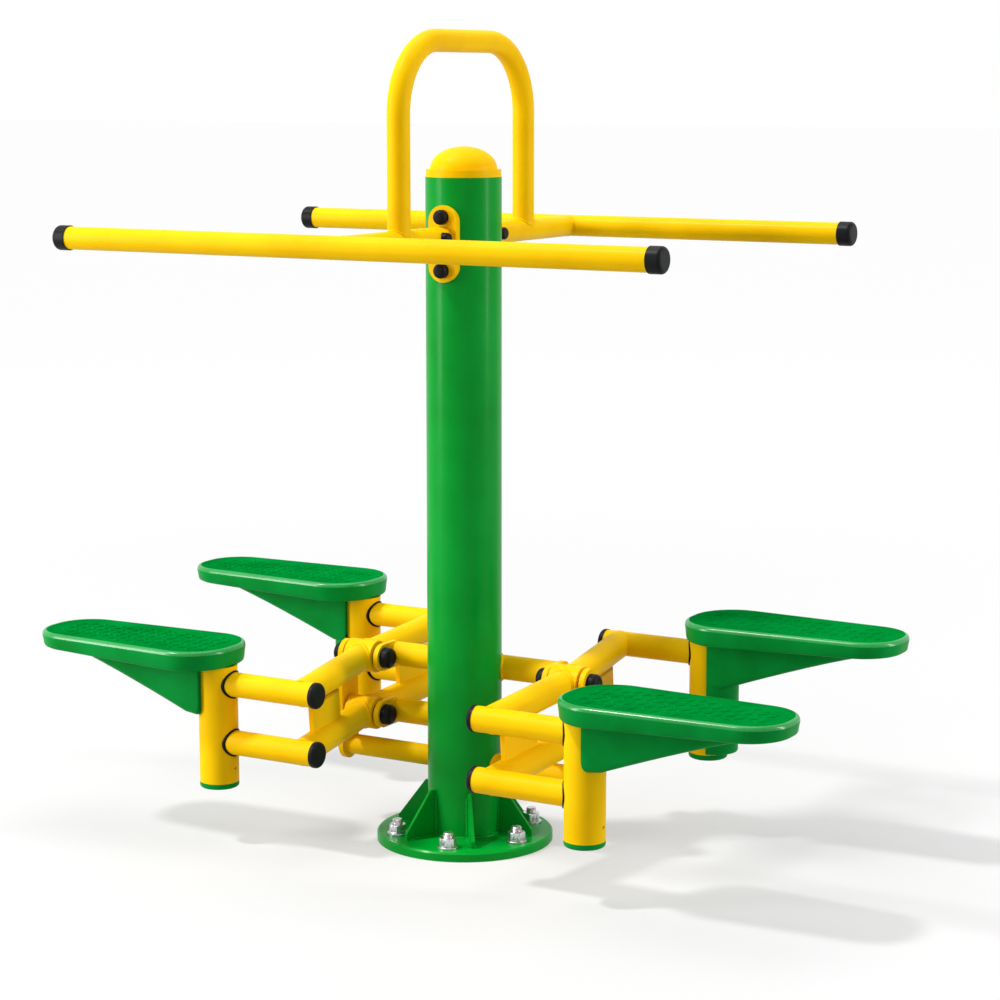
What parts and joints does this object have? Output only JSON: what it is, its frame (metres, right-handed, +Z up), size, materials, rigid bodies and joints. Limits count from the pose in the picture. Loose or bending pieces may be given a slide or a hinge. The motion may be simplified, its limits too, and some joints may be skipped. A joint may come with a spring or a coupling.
{
  "type": "outdoor stepper",
  "caption": "Outdoor exercise stepper: a flanged post with long handlebars and a hoop, and seesaw rockers on both sides that carry level pedals.",
  "frame": {"origin": "middle of the base flange's underside, on the ground under the post's axis", "axes": "+Z up along the post, X along the handlebars with one station at each side, the hoop lies in the YZ plane, -Y is the front"},
  "size_m": [1.273, 0.7028, 1.2338],
  "materials": {
    "green_paint": "gloss powder coat",
    "yellow_paint": "gloss powder coat",
    "green_plastic": "satin moulded plastic",
    "black_plastic": "satin moulded plastic",
    "stop_rubber": "cast polyurethane rubber",
    "zinc_steel": "bright zinc plating",
    "bearing_steel": "ground steel"
  },
  "bodies": {
    "frame": {"base_flange": "green_paint", "base_gussets": "green_paint", "main_post": "green_paint", "post_cap": "yellow_paint", "hoop_handle": "yellow_paint", "front_handle_bracket": "yellow_paint", "front_arm_tube": "yellow_paint", "front_handlebar": "yellow_paint", "rear_handle_bracket": "yellow_paint", "rear_arm_tube": "yellow_paint", "rear_handlebar": "yellow_paint", "handlebar_end_caps": "black_plastic", "bracket_bolt_caps": "black_plastic", "arm_lock_caps": "black_plastic", "bracket_bolts": "zinc_steel", "arm_lock_bolts": "zinc_steel", "left_upper_pivot_arm": "yellow_paint", "left_lower_pivot_arm": "yellow_paint", "left_stay_tube": "yellow_paint", "left_outer_plate": "yellow_paint", "left_axle_bolts": "zinc_steel", "left_axle_caps": "black_plastic", "right_upper_pivot_arm": "yellow_paint", "right_lower_pivot_arm": "yellow_paint", "right_stay_tube": "yellow_paint", "right_outer_plate": "yellow_paint", "right_axle_bolts": "zinc_steel", "right_axle_caps": "black_plastic"},
    "left_upper_rocker": {"left_upper_rocker": "yellow_paint", "left_upper_bearings": "bearing_steel", "left_upper_spindle_caps": "black_plastic"},
    "left_lower_rocker": {"left_lower_rocker": "yellow_paint", "left_lower_bearings": "bearing_steel", "left_lower_spindle_caps": "black_plastic", "left_stop_pads": "stop_rubber"},
    "left_front_pedal": {"left_front_pedal": "green_plastic", "left_front_post_plug": "green_plastic", "left_front_pedal_post": "yellow_paint", "left_front_spindle_bushes": "black_plastic"},
    "left_rear_pedal": {"left_rear_pedal": "green_plastic", "left_rear_post_plug": "green_plastic", "left_rear_pedal_post": "yellow_paint", "left_rear_spindle_bushes": "black_plastic"},
    "right_upper_rocker": {"right_upper_rocker": "yellow_paint", "right_upper_bearings": "bearing_steel", "right_upper_spindle_caps": "black_plastic"},
    "right_lower_rocker": {"right_lower_rocker": "yellow_paint", "right_lower_bearings": "bearing_steel", "right_lower_spindle_caps": "black_plastic", "right_stop_pads": "stop_rubber"},
    "right_front_pedal": {"right_front_pedal": "green_plastic", "right_front_post_plug": "green_plastic", "right_front_pedal_post": "yellow_paint", "right_front_spindle_bushes": "black_plastic"},
    "right_rear_pedal": {"right_rear_pedal": "green_plastic", "right_rear_post_plug": "green_plastic", "right_rear_pedal_post": "yellow_paint", "right_rear_spindle_bushes": "black_plastic"}
  },
  "joints": [
    {"name": "left_step", "type": "hinge", "parent": "frame", "child": "left_upper_rocker", "pos_m": [-0.182, 0, 0.268], "axis": [1, 0, 0], "range_deg": [-23, 13]},
    {"name": "left_lower_swing", "type": "hinge", "parent": "frame", "child": "left_lower_rocker", "pos_m": [-0.182, 0, 0.177], "axis": [1, 0, 0], "range_deg": [-23, 13]},
    {"name": "left_front_level", "type": "hinge", "parent": "left_upper_rocker", "child": "left_front_pedal", "pos_m": [-0.318, -0.20422, 0.25013], "axis": [1, 0, 0], "range_deg": [-13, 23]},
    {"name": "left_rear_level", "type": "hinge", "parent": "left_upper_rocker", "child": "left_rear_pedal", "pos_m": [-0.318, 0.20422, 0.28587], "axis": [1, 0, 0], "range_deg": [-13, 23]},
    {"name": "right_step", "type": "hinge", "parent": "frame", "child": "right_upper_rocker", "pos_m": [0.182, 0, 0.268], "axis": [1, 0, 0], "range_deg": [-23, 13]},
    {"name": "right_lower_swing", "type": "hinge", "parent": "frame", "child": "right_lower_rocker", "pos_m": [0.182, 0, 0.177], "axis": [1, 0, 0], "range_deg": [-23, 13]},
    {"name": "right_front_level", "type": "hinge", "parent": "right_upper_rocker", "child": "right_front_pedal", "pos_m": [0.318, -0.20422, 0.25013], "axis": [1, 0, 0], "range_deg": [-13, 23]},
    {"name": "right_rear_level", "type": "hinge", "parent": "right_upper_rocker", "child": "right_rear_pedal", "pos_m": [0.318, 0.20422, 0.28587], "axis": [1, 0, 0], "range_deg": [-13, 23]}
  ],
  "couplings": [
    {"joint": "left_lower_swing", "follows": "left_step", "ratio": 1},
    {"joint": "left_front_level", "follows": "left_step", "ratio": -1},
    {"joint": "left_rear_level", "follows": "left_step", "ratio": -1},
    {"joint": "right_lower_swing", "follows": "right_step", "ratio": 1},
    {"joint": "right_front_level", "follows": "right_step", "ratio": -1},
    {"joint": "right_rear_level", "follows": "right_step", "ratio": -1}
  ]
}
